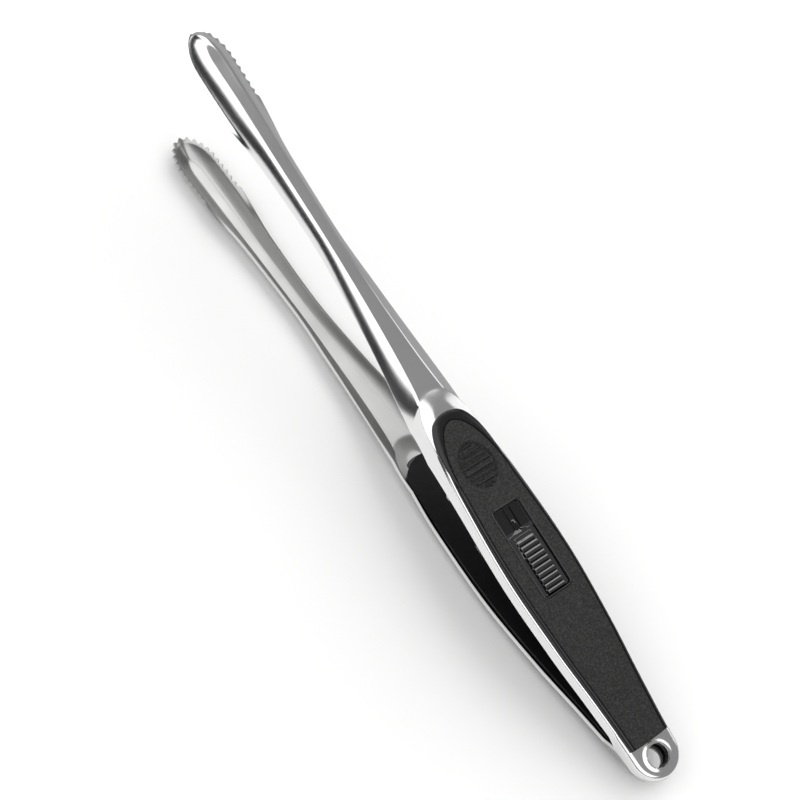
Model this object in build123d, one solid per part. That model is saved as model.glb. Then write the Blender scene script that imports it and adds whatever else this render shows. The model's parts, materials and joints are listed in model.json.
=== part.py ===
from build123d import *
import math
import os

# Locking kitchen tongs, millimetres, +Z up, tips towards -X, hanging hole towards +X.
#
# Each half is drawn closed, about the hinge pin: the pin's axis is Y through the
# origin, the plane between the halves is Z = 0, and a half lies on the +Z side of it.
# "Reach" is the distance from the pin towards the tips, along -X.  The lower half is
# the mirror image of the upper one.  At the end both are turned about the pin and put
# on the ground, the lower half on the crown of its grip and the belly of its tip.

# Driving dimensions
TIP = 278.0                 # reach of the tip
TAIL = -22.0                # reach of the tail's end
SHEET = 1.0                 # thickness of the pressed arms
HALF_GAP = 0.15             # free edge to the plane between the halves, when closed
OPEN_ANGLE = 14.6           # angle between the halves at rest, degrees
FIT_GAP = 0.05              # gap between pieces screwed together

# Cross sections of an arm: reach, half width and height of the free edge,
# half width and height of the shoulder.
SECTIONS = [
    (-30, 9.2, HALF_GAP, 8.3, 6.0),
    (-12, 9.4, HALF_GAP, 8.6, 6.4),
    (10, 10.9, HALF_GAP, 10.0, 7.0),
    (33, 12.9, HALF_GAP, 12.0, 7.5),
    (60, 14.1, HALF_GAP, 13.2, 7.8),
    (90, 13.1, HALF_GAP, 11.9, 7.9),
    (112, 11.6, 0.35, 9.0, 7.8),
    (130, 9.9, 1.8, 4.8, 7.7),
    (148, 8.0, 3.0, 3.3, 7.7),
    (168, 6.4, 3.4, 2.5, 7.7),
    (192, 5.2, 3.0, 2.1, 7.4),
    (220, 5.8, 2.0, 2.2, 7.1),
    (247, 8.2, 0.7, 3.9, 7.0),
    (262, 8.7, HALF_GAP, 4.6, 6.6),
    (290, 8.7, HALF_GAP, 4.6, 6.2),
]
TIP_CENTRE = 263.0          # where the tip's rounding starts, in plan
NOSE_START = 266.0          # where the tip's top starts to come down
TAIL_CENTRE = -12.0         # where the tail's rounding starts, in plan
TAIL_BLEND = 6.0            # blends the free edges into their cut-back behind the pin
CORNER_R = 1.6              # outer radius along the shoulders

# Serrated rim of the tip
TOOTH_PITCH = 3.2
TOOTH_DEPTH = 0.9
TOOTH_HEIGHT = 1.7
SERRATION_START = 247.0

# Raised platform under the grip, with its rounded front
PLATFORM_FRONT = 131.0
PLATFORM_BEND = 107.0       # where its outline meets the shoulders
PLATFORM_REAR = -4.0
PLATFORM_RISE = 0.5

# Grip: hard base and soft pad
BASE_FRONT = 119.8
BASE_BEND = 98.0
BASE_REAR = -6.6
PAD_FRONT = 115.5
PAD_BEND = 90.0
PAD_REAR = -7.0
PAD_INSET = 1.7             # pad's edge to the shoulder
THUMB_REACH = 98.0
THUMB_LENGTH = 17.0
THUMB_WIDTH = 12.5
THUMB_RIBS = 8
THUMB_GROOVE = 0.4

# Rise of base and pad above the arm's top face: reach, base, pad.  In front of its
# crown the pad stays under the line from the crown to the tip's belly.
GRIP_RISES = [
    (-8, 1.2, 2.2),
    (20, 1.5, 2.7),
    (50, 1.6, 3.0),
    (60, 1.6, 2.9),
    (90, 1.2, 2.1),
    (112, 0.9, 1.75),
    (124, 0.8, 1.6),
]

# Slide lock
WINDOW_REAR = 48.6
WINDOW_FRONT = 82.6
WINDOW_HALF = 6.1
SLIDE_TRAVEL = 8.5
SLIDE_PLAY = 0.1
BUTTON_RIBS = 11
TRACK_WALL = 0.6

# Hanging hole
HOLE_REACH = -13.6
HOLE_R = 4.0
RING_R = 5.6
RING_RISE = 0.6

# Hinge
PIN_R = 1.5
KNUCKLE_R = 3.7
PIN_PLAY = 0.05
UPPER_KNUCKLE = (2.90, 4.45)
LOWER_KNUCKLE = (4.85, 6.20)
WASHER = (4.50, 4.80)

# Screws that clamp liner, arm and grip
SCREW_REACHES = (98.0, 22.0)
BOSS_R = 2.0
POST_R = 3.2
SCREW_R = 1.1
HEAD_R = 2.3

# Where a half touches the ground
CROWN_REACH = 60.0
BELLY_REACH = 256.0

# Liner
LINER_FRONT = 117.5
LINER_REAR = -20.3
LINER_FACE = 1.0            # height of the liner's flat face
LINER_WALL = 1.6
LINER_GAP = 0.12
LINER_BEND = 100.0
HINGE_ROOM = (-5.3, 6.6)    # reaches of the clear space round the knuckles and the spring
RIB_END = 8.2               # outer end of the ribs in front of that space, inside the walls

# Lock: button's stem, latch plate with its hook, strike plate, leaf spring
STEM_REACHES = (57.0, 66.0)
LATCH_TOP = 6.9
LATCH_SHEET = 1.0
LATCH_SCREW_REACH = 61.5
HOOK_REACH = 66.0
FOOT_TOP = -3.95
STRIKE_SCREWS = (60.5, 83.5)
DETENT_SCREW_REACH = 44.0
DETENT_REACH = 50.5

# Opening spring
WIRE_R = 0.45
COIL_R = 2.75
COIL_WIDTH = 4.4
COIL_TURNS = 4
LEG_LENGTH = 15.0


def smooth(points, column, reach):
    """Monotone cubic through one column of a list of stations."""
    xs = [p[0] for p in points]
    ys = [p[column] for p in points]
    slopes = [(ys[i + 1] - ys[i]) / (xs[i + 1] - xs[i]) for i in range(len(xs) - 1)]
    tangents = [slopes[0]]
    for left, right in zip(slopes, slopes[1:]):
        mean = 2 * left * right / (left + right) if left * right > 0 else 0.0
        tangents.append(mean)
    tangents.append(slopes[-1])
    i = max(k for k in range(len(slopes)) if xs[k] <= reach or k == 0)
    h = xs[i + 1] - xs[i]
    t = (reach - xs[i]) / h
    return (
        (1 + 2 * t) * (1 - t) ** 2 * ys[i]
        + t * (1 - t) ** 2 * h * tangents[i]
        + t * t * (3 - 2 * t) * ys[i + 1]
        + t * t * (t - 1) * h * tangents[i + 1]
    )


def rounding(reach, centre, end):
    """1 up to the centre, then a quarter ellipse down to 0 at the end."""
    e = max(0.0, min(1.0, (reach - centre) / (end - centre)))
    return math.sqrt(1 - e * e)


def section(reach, inset=0.0):
    """Free edge and shoulder of the arm: half width and height of each."""
    edge_w, edge_h, top_w, top_h = [smooth(SECTIONS, c, reach) for c in (1, 2, 3, 4)]
    behind = (math.hypot(reach, TAIL_BLEND) - reach) / 2
    edge_h += behind * math.tan(math.radians(OPEN_ANGLE / 2))
    rise = top_h - edge_h
    wall = math.hypot(edge_w - top_w, rise)
    across = inset * wall / rise
    top_h -= inset
    top_w = top_w + (edge_w - top_w) * inset / rise - across
    edge_w -= across
    plan = rounding(reach, TIP_CENTRE, TIP - inset) * rounding(reach, TAIL_CENTRE, TAIL + inset)
    nose = rounding(reach, NOSE_START, TIP - inset)
    top_h = edge_h + (top_h - edge_h) * nose
    return edge_w * plan, edge_h, top_w * plan, top_h


def channel_section(reach, inset=0.0, below=0.0):
    """Closed outline of the channel at one reach, with rounded shoulders."""
    edge_w, edge_h, top_w, top_h = section(reach, inset)
    rise = top_h - edge_h
    slant = (edge_w - top_w) / rise
    edge_w += slant * below
    edge_h -= below
    wall = math.hypot(edge_w - top_w, top_h - edge_h)
    r = min(max(CORNER_R - inset, 0.5), 0.8 * top_w, 0.4 * (top_h - edge_h))
    ux = (edge_w - top_w) / wall
    uz = (edge_h - top_h) / wall
    cut = 0.55 * r
    middle = 0.16 * r

    def at(w, h):
        return Vector(-reach, w, h)

    left_edge = at(-edge_w, edge_h)
    right_edge = at(edge_w, edge_h)
    left_low = at(-top_w - ux * cut, top_h + uz * cut)
    left_mid = at(-top_w - ux * middle + middle, top_h + uz * middle)
    left_top = at(-top_w + cut, top_h)
    right_top = at(top_w - cut, top_h)
    right_mid = at(top_w + ux * middle - middle, top_h + uz * middle)
    right_low = at(top_w + ux * cut, top_h + uz * cut)
    return Wire([
        Line(left_edge, left_low),
        ThreePointArc(left_low, left_mid, left_top),
        Line(left_top, right_top),
        ThreePointArc(right_top, right_mid, right_low),
        Line(right_low, right_edge),
        Line(right_edge, left_edge),
    ])


def skin_body(inset=0.0, below=0.0):
    """Solid inside the arm's outer skin, or inside a skin further in."""
    ends = [0.985, 0.92, 0.75, 0.45]
    reaches = [TAIL_CENTRE + (TAIL + inset - TAIL_CENTRE) * e for e in ends]
    reaches += [-9, 0, 10, 21, 33, 60, 90, 108, 121, 130, 139]
    reaches += [150, 168, 192, 220, 247, 256]
    reaches += [TIP_CENTRE + (TIP - inset - TIP_CENTRE) * e for e in reversed(ends)]
    return Solid.make_loft([channel_section(x, inset, below) for x in reaches])


def plan_solid(outline, bottom, top):
    """Prism over a closed plan outline given as reach, half width points."""
    right = [(-x, w) for x, w in outline]
    left = [(-x, -w) for x, w in reversed(outline)]
    points = right + left
    face = make_face(Polyline(*points, close=True))
    return Pos(0, 0, bottom) * extrude(face, top - bottom)


def rounded_outline(front, bend, rear, inset, lift=0.0):
    """Outline along the shoulders with a half elliptical front."""
    width = smooth(SECTIONS, 3, bend) - inset
    slope = (smooth(SECTIONS, 3, bend - 4) - smooth(SECTIONS, 3, bend)) / 4
    points = []
    steps = 20
    for i in range(steps):
        angle = math.pi / 2 * (i + 0.4) / (steps + 0.4)
        reach = bend + (front - bend) * math.cos(angle)
        spread = width * math.sin(angle) - slope * (reach - bend) * math.sin(angle) ** 6
        points.append((reach, spread))
    reach = bend
    while reach > rear + 1:
        points.append((reach, smooth(SECTIONS, 3, reach) - inset))
        reach -= 6.0
    points.append((rear, smooth(SECTIONS, 3, rear) - inset))
    return points


def top_at(reach, rise):
    """Height of the arm's top face plus a rise."""
    return smooth(SECTIONS, 4, reach) + rise


def platform_top(reach, gap=0.0):
    """Height of the platform's face, or a gap above it."""
    return top_at(reach, PLATFORM_RISE + gap)


def base_top(reach, gap=0.0):
    """Height of the grip base's face, or a gap above it."""
    return top_at(reach, smooth(GRIP_RISES, 1, reach) + gap)


def pad_top(reach):
    """Height of the grip pad's face."""
    return top_at(reach, smooth(GRIP_RISES, 2, reach))


def under_profile(height, front, rear, gap=0.0, bottom=-20.0):
    """Everything below a curve whose height is a function of reach, shifted by a gap."""
    steps = 16
    span = front - rear
    points = []
    for i in range(steps + 1):
        reach = rear + span * i / steps
        points.append((-reach, 0, height(reach) + gap))
    curve = Spline(*points)
    first = Vector(*points[0])
    last = Vector(*points[-1])
    floor_first = Vector(first.X, 0, bottom)
    floor_last = Vector(last.X, 0, bottom)
    sides = [Line(last, floor_last), Line(floor_last, floor_first), Line(floor_first, first)]
    face = Face(Wire([curve] + sides))
    return extrude(face, 30, dir=(0, 1, 0), both=True)


def cylinder_z(reach, w, r, bottom, top):
    """Upright cylinder between two heights."""
    return Pos(-reach, w, (bottom + top) / 2) * Cylinder(r, top - bottom)


def cylinder_y(reach, height, r, start, end):
    """Cylinder along the hinge direction."""
    return Pos(-reach, (start + end) / 2, height) * Rot(90, 0, 0) * Cylinder(r, end - start)


def block(reaches, widths, heights):
    """Box between two reaches, two widths and two heights."""
    size = (reaches[1] - reaches[0], widths[1] - widths[0], heights[1] - heights[0])
    centre = (-sum(reaches) / 2, sum(widths) / 2, sum(heights) / 2)
    return Pos(*centre) * Box(*size)


def slot(reaches, half_width, heights, radius):
    """Upright prism with a rectangle's outline and rounded corners."""
    length = reaches[1] - reaches[0]
    sketch = RectangleRounded(length, 2 * half_width, radius)
    return Pos(-sum(reaches) / 2, 0, heights[0]) * extrude(sketch, heights[1] - heights[0])


def rim_points():
    """Points and outward directions at equal steps along one side of the tip's rim."""
    path = []
    reach = SERRATION_START
    while reach < TIP_CENTRE:
        path.append((reach, section(reach)[0]))
        reach += 0.5
    steps = 60
    for i in range(steps + 1):
        angle = math.pi / 2 * i / steps
        reach = TIP_CENTRE + (TIP - TIP_CENTRE) * math.sin(angle)
        path.append((reach, section(min(reach, TIP - 1e-6))[0]))
    total = sum(math.dist(a, b) for a, b in zip(path, path[1:]))
    count = round(total / TOOTH_PITCH)
    pitch = total / count
    wanted = [pitch * (i + 0.5) for i in range(count)]
    found = []
    run = 0.0
    for a, b in zip(path, path[1:]):
        step = math.dist(a, b)
        while wanted and run + step >= wanted[0]:
            t = (wanted.pop(0) - run) / step
            point = (a[0] + (b[0] - a[0]) * t, a[1] + (b[1] - a[1]) * t)
            along = ((b[0] - a[0]) / step, (b[1] - a[1]) / step)
            found.append((point, along))
        run += step
    return found


def serration_notches():
    """V notches round the tip's rim."""
    notches = []
    for (reach, w), (dx, dw) in rim_points():
        for side in (1, -1):
            angle = math.degrees(math.atan2(side * dw, -dx))
            half = TOOTH_PITCH * 0.42
            shape = make_face(Polyline((-half, 2), (-half, 0.3), (0, -TOOTH_DEPTH), (half, 0.3), (half, 2),
                                       close=True))
            if side > 0:
                shape = Rot(0, 0, angle) * Rot(0, 0, 180) * shape
            else:
                shape = Rot(0, 0, angle) * shape
            height = section(reach)[1]
            notches.append(Pos(-reach, side * w, height - 0.5) * extrude(shape, TOOTH_HEIGHT + 0.5))
    return notches


def make_arm():
    """Pressed channel with platform, tail ring, holes and serrated tip."""
    outline = rounded_outline(PLATFORM_FRONT, PLATFORM_BEND, PLATFORM_REAR, 0.35)
    platform = plan_solid(outline, 2, 14)
    platform &= under_profile(platform_top, PLATFORM_FRONT + 3, PLATFORM_REAR - 3)
    outline = rounded_outline(PLATFORM_FRONT - SHEET, PLATFORM_BEND, PLATFORM_REAR + SHEET, 0.35 + SHEET)
    recess = plan_solid(outline, 2, 14)
    recess &= under_profile(platform_top, PLATFORM_FRONT + 3, PLATFORM_REAR - 3, -SHEET)
    ring = cylinder_z(HOLE_REACH, 0, RING_R, 4.8, top_at(HOLE_REACH, RING_RISE))
    arm = skin_body() + platform + ring - skin_body(SHEET, 3.0) - recess
    arm -= cylinder_z(HOLE_REACH, 0, HOLE_R, -1, 12)
    for reach in SCREW_REACHES:
        arm -= cylinder_z(reach, 0, BOSS_R + 0.1, 0, 14)
    return arm - serration_notches()


def liner_shell():
    """Moulded insert that fills the handle's channel, hollow towards the sheet."""
    skin = skin_body(SHEET + LINER_GAP, 1.0)
    outline = rounded_outline(LINER_FRONT, LINER_BEND, LINER_REAR, -3.0)
    body = skin & plan_solid(outline, LINER_FACE, 20)
    slope = math.tan(math.radians(OPEN_ANGLE / 2))
    wedge = make_face(Polyline((0, LINER_FACE), (40, LINER_FACE + 40 * slope), (40, -5), (0, -5), close=True))
    body -= extrude(Plane.XZ * wedge, 30, both=True)
    inner_skin = skin_body(SHEET + LINER_GAP + LINER_WALL, 4.0)
    outline = rounded_outline(LINER_FRONT - LINER_WALL, LINER_BEND, HINGE_ROOM[1], -3.0)
    hollow = inner_skin & plan_solid(outline, LINER_FACE + LINER_WALL, 5.0)
    top = slot((HINGE_ROOM[1], LINER_FRONT - 8.0), 7.0, (4.0, 12), 2.0)
    body -= hollow
    body -= top
    body -= block(HINGE_ROOM, (-7.1, 7.1), (-1, 12))
    body -= cylinder_z(HOLE_REACH, 0, 5.3, -1, 12)
    for reach in SCREW_REACHES:
        body += cylinder_z(reach, 0, POST_R, LINER_FACE, top_at(reach, -SHEET - 0.12))
        body -= cylinder_z(reach, 0, BOSS_R + 0.05, 4.0, 12)
        body -= cylinder_z(reach, 0, SCREW_R + 0.1, 0, 5)
        body -= cylinder_z(reach, 0, HEAD_R + 0.15, 0, 2.6)
    return body


def knuckles(span, bore_r):
    """Pair of hinge knuckles with the ribs that join them to a liner."""
    pieces = []
    rib_top = top_at(0, -SHEET - 0.5)
    for side in (1, -1):
        start, end = sorted((side * span[0], side * span[1]))
        piece = cylinder_y(0, 0, KNUCKLE_R, start, end)
        piece += block((-3.2, 3.2), (start, end), (0, rib_top))
        piece += block((3.0, HINGE_ROOM[1] + 0.8), (start, end), (LINER_FACE + LINER_WALL, rib_top))
        pieces.append(piece - cylinder_y(0, 0, bore_r, start - 1, end + 1))
    return pieces


def make_lower_liner(shell):
    """Liner with the outer knuckles and the opening that the hook goes through."""
    liner = shell + knuckles(LOWER_KNUCKLE, PIN_R + 0.02)
    liner += cross_ribs()
    liner -= slot((63.8, 79.2), 5.1, (0, 4), 0.8)
    for reach in STRIKE_SCREWS:
        liner -= cylinder_z(reach, 0, 0.95, 0, 4)
        liner -= cylinder_z(reach, 0, 1.85, 0, 1.9)
    return liner


def make_upper_liner(shell):
    """Liner with the inner knuckles, the hook's slot and the leaf spring's post."""
    liner = shell + knuckles(UPPER_KNUCKLE, PIN_R + PIN_PLAY)
    liner += cross_ribs()
    liner -= slot((65.0, 79.6), 4.9, (0, 4), 0.8)
    liner += cylinder_z(DETENT_SCREW_REACH, 0, 2.4, LINER_FACE, 4.9)
    return liner - cylinder_z(DETENT_SCREW_REACH, 0, 0.85, 2.4, 6)


def cross_ribs():
    """Ribs by the hinge room that carry the knuckles and leave room for the spring's legs."""
    reaches = (HINGE_ROOM[1] - 0.1, HINGE_ROOM[1] + 1.5)
    heights = (LINER_FACE, top_at(8, -SHEET - 0.6))
    right = block(reaches, (UPPER_KNUCKLE[0], RIB_END), heights)
    left = block(reaches, (-RIB_END, -UPPER_KNUCKLE[0]), heights)
    return [right, left]


def make_grip_base():
    """Hard carrier screwed to the platform, with a bevelled edge."""
    outline = rounded_outline(BASE_FRONT, BASE_BEND, BASE_REAR, 0.5)
    base = plan_solid(outline, 2, 20) & under_profile(base_top, BASE_FRONT + 3, BASE_REAR - 1)
    base -= under_profile(platform_top, BASE_FRONT + 6, BASE_REAR - 6, FIT_GAP)
    base -= cylinder_z(HOLE_REACH, 0, RING_R + 1.2, 0, 20)
    for reach in SCREW_REACHES:
        base += cylinder_z(reach, 0, BOSS_R, 4.2, base_top(reach, -0.1))
        base -= cylinder_z(reach, 0, SCREW_R + 0.02, 0, base_top(reach, -0.5))
    return base


def make_grip_pad():
    """Soft pad with an oval ribbed thumb rest."""
    outline = rounded_outline(PAD_FRONT, PAD_BEND, PAD_REAR, PAD_INSET)
    pad = plan_solid(outline, 2, 20) & under_profile(pad_top, PAD_FRONT + 3, PAD_REAR - 0.5)
    pad -= under_profile(base_top, PAD_FRONT + 6, PAD_REAR - 1, FIT_GAP)
    pad -= cylinder_z(HOLE_REACH, 0, RING_R + 1.4, 0, 20)
    pitch = THUMB_LENGTH / THUMB_RIBS
    for i in range(THUMB_RIBS):
        offset = (i + 0.5) * pitch - THUMB_LENGTH / 2
        reach = THUMB_REACH + offset
        half = THUMB_WIDTH / 2 * math.sqrt(1 - (2 * offset / THUMB_LENGTH) ** 2)
        groove = (reach - 0.3 * pitch, reach + 0.3 * pitch)
        pad -= block(groove, (-half, half), (pad_top(reach) - THUMB_GROOVE, 20))
    return pad


def make_hang_bush():
    """Eyelet inside the hanging hole, between the sheet and the liner."""
    top = top_at(HOLE_REACH, -SHEET - 0.3)
    return cylinder_z(HOLE_REACH, 0, 5.2, 3.2, top) - cylinder_z(HOLE_REACH, 0, HOLE_R, 0, 12)


def make_grip_screws():
    """Pan head screws from the liner's face into the base's bosses."""
    screws = []
    for reach in SCREW_REACHES:
        screw = cylinder_z(reach, 0, HEAD_R, 1.2, 2.55)
        screw += cylinder_z(reach, 0, SCREW_R - 0.03, 2.4, base_top(reach, -0.8))
        screw -= block((reach - 1.4, reach + 1.4), (-0.3, 0.3), (1.0, 1.8))
        screws.append(screw)
    return Compound(screws)


def track_floor():
    """Height of the tray's floor, which the button slides on."""
    return platform_top(CROWN_REACH) + TRACK_WALL + 0.1


def make_track():
    """Tray that lines the window, with a central slot for the stem."""
    rear = WINDOW_REAR + FIT_GAP
    front = WINDOW_FRONT - FIT_GAP
    half = WINDOW_HALF - FIT_GAP
    tray = slot((rear, front), half, (8.0, 14.0), 1.95)
    tray &= under_profile(pad_top, WINDOW_FRONT + 6, WINDOW_REAR - 6)
    inner = (rear + TRACK_WALL, front - TRACK_WALL)
    tray -= slot(inner, half - TRACK_WALL, (track_floor(), 14), 1.4)
    tray -= under_profile(platform_top, WINDOW_FRONT + 6, WINDOW_REAR - 6, FIT_GAP)
    return tray - slot((54.8, 76.8), 1.5, (2, 14), 1.45)


def make_button():
    """Ribbed button with a sloping nose and a stem through the slot."""
    floor_h = track_floor()
    rear = WINDOW_REAR + FIT_GAP + TRACK_WALL + SLIDE_PLAY
    front = WINDOW_FRONT - FIT_GAP - TRACK_WALL - SLIDE_PLAY - SLIDE_TRAVEL
    half = WINDOW_HALF - FIT_GAP - TRACK_WALL - 0.12
    top = pad_top(CROWN_REACH) + 0.3
    button = slot((rear, front), half, (floor_h + 0.08, top), 1.5)
    nose = make_face(Polyline((-front - 1, floor_h + 0.6), (-front + 2.6, top + 0.1), (-front + 2.6, 20),
                              (-front - 1, 20), close=True))
    button -= extrude(Plane.XZ * nose, 20, both=True)
    pitch = (front - rear - 3.2) / BUTTON_RIBS
    for i in range(BUTTON_RIBS):
        reach = rear + 0.6 + (i + 0.5) * pitch
        groove = (reach - 0.27 * pitch, reach + 0.27 * pitch)
        button -= block(groove, (0.7 - half, half - 0.7), (top - 0.75, 20))
    button += block(STEM_REACHES, (-1.3, 1.3), (LATCH_TOP + 0.02, floor_h + 0.2))
    return button - cylinder_z(LATCH_SCREW_REACH, 0, 0.8, LATCH_TOP - 1, floor_h + 0.5)


def make_latch():
    """Steel plate under the sheet, bent down into a T-shaped hook."""
    low = LATCH_TOP - LATCH_SHEET
    plate = block((48.0, HOOK_REACH + LATCH_SHEET), (-4.0, 4.0), (low, LATCH_TOP))
    leg = block((HOOK_REACH, HOOK_REACH + LATCH_SHEET), (-1.5, 1.5), (FOOT_TOP - LATCH_SHEET, LATCH_TOP))
    foot = block((HOOK_REACH, HOOK_REACH + 3.5), (-4.0, 4.0), (FOOT_TOP - LATCH_SHEET, FOOT_TOP))
    latch = plate + leg + foot
    return latch - cylinder_z(LATCH_SCREW_REACH, 0, 0.95, 0, 12)


def make_latch_screw():
    """Screw that holds the latch plate to the button's stem."""
    reach = LATCH_SCREW_REACH
    low = LATCH_TOP - LATCH_SHEET
    screw = cylinder_z(reach, 0, 1.7, low - 0.9, low - 0.02)
    screw += cylinder_z(reach, 0, 0.77, low - 0.5, track_floor())
    return screw - block((reach - 1.2, reach + 1.2), (-0.25, 0.25), (low - 2, low - 0.55))


def make_detent_spring():
    """Leaf on a post of the liner, whose bump holds the latch plate."""
    leaf = block((DETENT_SCREW_REACH - 3, 58.4), (-2.0, 2.0), (4.95, 5.25))
    leaf -= cylinder_z(DETENT_SCREW_REACH, 0, 0.9, 0, 9)
    bump = cylinder_y(DETENT_REACH, 4.8, 0.95, -2.0, 2.0)
    return leaf + (bump - block((40, 60), (-3, 3), (0, 5.1)))


def make_detent_screw():
    """Screw that fixes the leaf to its post."""
    reach = DETENT_SCREW_REACH
    screw = cylinder_z(reach, 0, 1.6, 5.27, 6.1) + cylinder_z(reach, 0, 0.8, 2.6, 5.6)
    return screw - block((reach - 1.1, reach + 1.1), (-0.25, 0.25), (5.7, 7))


def make_strike():
    """Keyhole plate: the hook's foot enters its wide end and slides under its narrow end."""
    plate = block((57.5, 86.5), (-6.5, 6.5), (LINER_FACE + LINER_WALL + 0.03, LINER_FACE + LINER_WALL + 1.0))
    plate -= slot((64.5, 71.2), 4.6, (0, 6), 0.6)
    plate -= slot((70.0, 77.0), 2.1, (0, 6), 0.6)
    for reach in STRIKE_SCREWS:
        plate -= cylinder_z(reach, 0, 0.83, 0, 6)
    return plate


def make_strike_screws():
    """Screws from the liner's face into the strike plate."""
    screws = []
    for reach in STRIKE_SCREWS:
        screw = cylinder_z(reach, 0, 1.7, 1.1, 1.88) + cylinder_z(reach, 0, 0.8, 1.6, 4.6)
        screws.append(screw - block((reach - 1.1, reach + 1.1), (-0.25, 0.25), (0, 1.45)))
    return Compound(screws)


def make_pin():
    """Headed hinge pin with a groove for its clip."""
    pin = cylinder_y(0, 0, PIN_R, -7.0, 7.0) + cylinder_y(0, 0, 2.3, -7.0, -6.3)
    groove = cylinder_y(0, 0, PIN_R + 1, 6.3, 6.8) - cylinder_y(0, 0, 1.1, 6.2, 6.9)
    return pin - groove


def make_clip():
    """E-clip in the pin's groove."""
    clip = cylinder_y(0, 0, 2.8, 6.33, 6.77) - cylinder_y(0, 0, 1.12, 6.0, 7.0)
    return clip - block((-0.9, 0.9), (6, 7), (-3, 0))


def make_washers():
    """Thin washers between the knuckles."""
    washers = []
    for side in (1, -1):
        start, end = sorted((side * WASHER[0], side * WASHER[1]))
        washers.append(cylinder_y(0, 0, 3.0, start, end) - cylinder_y(0, 0, PIN_R + 0.03, start - 1, end + 1))
    return Compound(washers)


def make_sleeve():
    """Sleeve that centres the spring on the pin."""
    return cylinder_y(0, 0, 2.15, -2.75, 2.75) - cylinder_y(0, 0, PIN_R + 0.03, -4, 4)


def make_spring():
    """Torsion spring: its coil lies round the sleeve, one leg presses each half."""
    path = Helix(pitch=COIL_WIDTH / COIL_TURNS, height=COIL_WIDTH, radius=COIL_R)
    profile = Plane(origin=path @ 0, z_dir=path % 0) * Circle(WIRE_R)
    coil = Pos(0, -COIL_WIDTH / 2, 0) * Rot(-90, 0, 0) * sweep(profile, path, is_frenet=True)
    leg = Pos(-LEG_LENGTH / 2, 0, COIL_R) * Rot(0, 90, 0) * Cylinder(WIRE_R, LEG_LENGTH)
    leg = Rot(0, OPEN_ANGLE / 2 + 8.0, 0) * leg
    upper_leg = Pos(0, COIL_WIDTH / 2, 0) * leg
    lower_leg = Pos(0, -COIL_WIDTH / 2, 0) * leg.mirror(Plane.XY)
    return coil + upper_leg + lower_leg


def lying_angle():
    """Angle at which a half lies on its pad's crown and the belly of its tip."""
    crown = pad_top(CROWN_REACH)
    belly = top_at(BELLY_REACH, 0)
    return math.degrees(math.atan2(crown - belly, BELLY_REACH - CROWN_REACH))


def main():
    os.makedirs("parts", exist_ok=True)
    arm = make_arm()
    shell = liner_shell()
    window = slot((WINDOW_REAR, WINDOW_FRONT), WINDOW_HALF, (2, 20), 2.0)
    base = make_grip_base()
    pad = make_grip_pad()
    lower_pieces = {
        "lower_arm": arm,
        "lower_liner": make_lower_liner(shell),
        "lower_grip_base": base,
        "lower_grip_pad": pad,
        "lower_hang_bush": make_hang_bush(),
        "lower_grip_screws": make_grip_screws(),
        "latch_strike": make_strike(),
        "strike_screws": make_strike_screws(),
        "hinge_pin": make_pin(),
        "pin_clip": make_clip(),
        "pivot_washers": make_washers(),
        "spring_sleeve": make_sleeve(),
    }
    upper_pieces = {
        "upper_arm": arm - slot((55.0, 76.5), 1.8, (2, 14), 1.7),
        "upper_liner": make_upper_liner(shell),
        "upper_grip_base": base - window,
        "upper_grip_pad": pad - window,
        "upper_hang_bush": make_hang_bush(),
        "upper_grip_screws": make_grip_screws(),
        "slide_track": make_track(),
        "detent_spring": make_detent_spring(),
        "detent_screw": make_detent_screw(),
        "slide_button": make_button(),
        "latch_plate": make_latch(),
        "latch_screw": make_latch_screw(),
    }
    tilt = lying_angle()
    nodes = {}
    for name, shape in lower_pieces.items():
        nodes[name] = Rot(0, -tilt, 0) * shape.mirror(Plane.XY)
    for name, shape in upper_pieces.items():
        nodes[name] = Rot(0, OPEN_ANGLE - tilt, 0) * shape
    nodes["opening_spring"] = Rot(0, OPEN_ANGLE / 2 - tilt, 0) * make_spring()

    # Move everything so that the origin is under the middle, on the ground.
    box = Compound(list(nodes.values())).bounding_box()
    to_ground = Pos(-(box.min.X + box.max.X) / 2, 0, -box.min.Z)
    for name, shape in nodes.items():
        export_step(to_ground * shape, f"parts/{name}.step")
    print("tilt", tilt, "pin at", to_ground.position, "size", box.size)


main()
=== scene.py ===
import json
import math

import bmesh
import bpy
from mathutils import Matrix, Vector


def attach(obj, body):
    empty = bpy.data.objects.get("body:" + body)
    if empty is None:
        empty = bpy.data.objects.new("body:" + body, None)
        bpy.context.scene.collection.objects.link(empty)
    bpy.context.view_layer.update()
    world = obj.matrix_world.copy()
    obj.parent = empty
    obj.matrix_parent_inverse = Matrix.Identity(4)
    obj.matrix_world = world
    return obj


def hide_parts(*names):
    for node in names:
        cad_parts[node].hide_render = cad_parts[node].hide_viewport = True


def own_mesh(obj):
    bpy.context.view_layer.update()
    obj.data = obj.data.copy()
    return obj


# Locking kitchen tongs, open, lying on their lower half.
#
# Each half is drawn closed, about the hinge pin, in millimetres: x = -reach, y across,
# z away from the plane between the halves.  Reach is the distance from the pin towards
# the tips.  The two halves have the same shape, and PLACES turns it about the pin and
# puts it in the row frame, in metres.

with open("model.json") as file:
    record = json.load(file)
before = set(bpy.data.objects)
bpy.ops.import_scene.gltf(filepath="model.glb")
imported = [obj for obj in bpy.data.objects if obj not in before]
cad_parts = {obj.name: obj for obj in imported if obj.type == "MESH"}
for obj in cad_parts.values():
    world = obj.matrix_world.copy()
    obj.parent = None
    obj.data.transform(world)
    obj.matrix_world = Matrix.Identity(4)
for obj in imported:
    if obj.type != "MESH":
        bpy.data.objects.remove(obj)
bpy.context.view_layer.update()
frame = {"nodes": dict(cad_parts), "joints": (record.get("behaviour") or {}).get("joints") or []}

# ------------------------------------------------------------------ driving dimensions

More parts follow.
